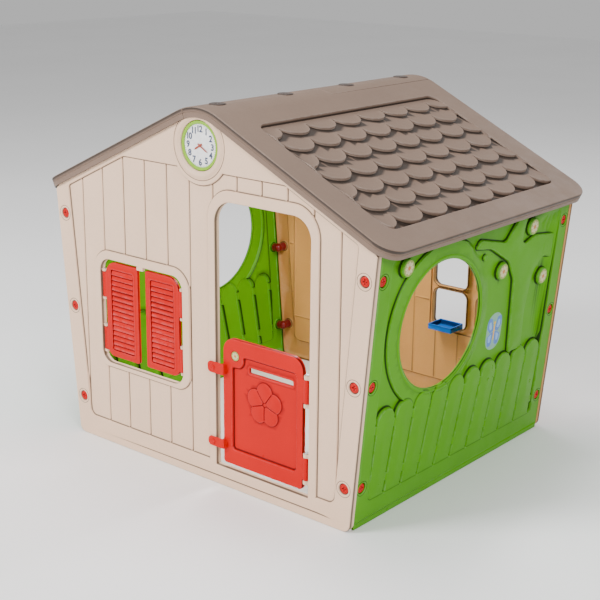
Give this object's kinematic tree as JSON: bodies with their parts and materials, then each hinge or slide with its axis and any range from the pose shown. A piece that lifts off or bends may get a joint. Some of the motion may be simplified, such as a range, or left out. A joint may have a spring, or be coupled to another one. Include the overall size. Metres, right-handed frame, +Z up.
{
  "type": "playhouse",
  "caption": "Children's plastic playhouse with gabled roof, half door, shuttered window, round side windows and moulded clock; door and shutters swing on pins.",
  "frame": {"origin": "on the floor under the middle of the house", "axes": "+Z up, the gable with the door faces -Y, the roof ridge runs along Y, +X is the side nearer the door"},
  "size_m": [1.4, 1.087, 1.1567],
  "materials": {
    "beige_plastic": "satin moulded",
    "tan_plastic": "satin moulded",
    "green_plastic": "glossy moulded",
    "taupe_plastic": "matte moulded",
    "dark_plastic": "matte moulded",
    "red_plastic": "glossy moulded",
    "blue_plastic": "glossy moulded",
    "dial_white": "printed satin",
    "sticker": "printed vinyl",
    "steel": "bright"
  },
  "bodies": {
    "house": {"front_wall": "beige_plastic", "back_wall": "tan_plastic", "right_wall": "green_plastic", "left_wall": "green_plastic", "roof_right": "taupe_plastic", "roof_left": "taupe_plastic", "ridge_screws": "dark_plastic", "front_wall_screws": "red_plastic", "back_wall_screws": "red_plastic", "right_wall_screws": "red_plastic", "left_wall_screws": "red_plastic", "bracket_front_left_top": "red_plastic", "bracket_front_left_mid": "red_plastic", "bracket_front_left_low": "red_plastic", "bracket_front_right_top": "red_plastic", "bracket_front_right_mid": "red_plastic", "bracket_front_right_low": "red_plastic", "bracket_back_left_top": "red_plastic", "bracket_back_left_mid": "red_plastic", "bracket_back_left_low": "red_plastic", "bracket_back_right_top": "red_plastic", "bracket_back_right_mid": "red_plastic", "bracket_back_right_low": "red_plastic", "door_pin_top": "steel", "door_pin_bottom": "steel", "shutter_left_pins": "steel", "shutter_right_pins": "steel", "clock_dial": "dial_white", "window_shelf": "blue_plastic", "right_wall_flower_stickers": "sticker", "left_wall_flower_stickers": "sticker", "right_wall_picture_sticker": "sticker", "left_wall_picture_sticker": "sticker"},
    "door_leaf": {"door": "red_plastic", "door_flower_sticker": "sticker"},
    "left_shutter": {"shutter_left": "red_plastic"},
    "right_shutter": {"shutter_right": "red_plastic"}
  },
  "joints": [
    {"name": "door_hinge", "type": "hinge", "parent": "house", "child": "door_leaf", "pos_m": [0.405, -0.52, 0.265], "axis": [0, 0, 1], "range_deg": [0, 105]},
    {"name": "left_shutter_hinge", "type": "hinge", "parent": "house", "child": "left_shutter", "pos_m": [-0.438, -0.522, 0.4525], "axis": [0, 0, -1], "range_deg": [0, 95]},
    {"name": "right_shutter_hinge", "type": "hinge", "parent": "house", "child": "right_shutter", "pos_m": [-0.09, -0.522, 0.4525], "axis": [0, 0, 1], "range_deg": [0, 95]}
  ]
}
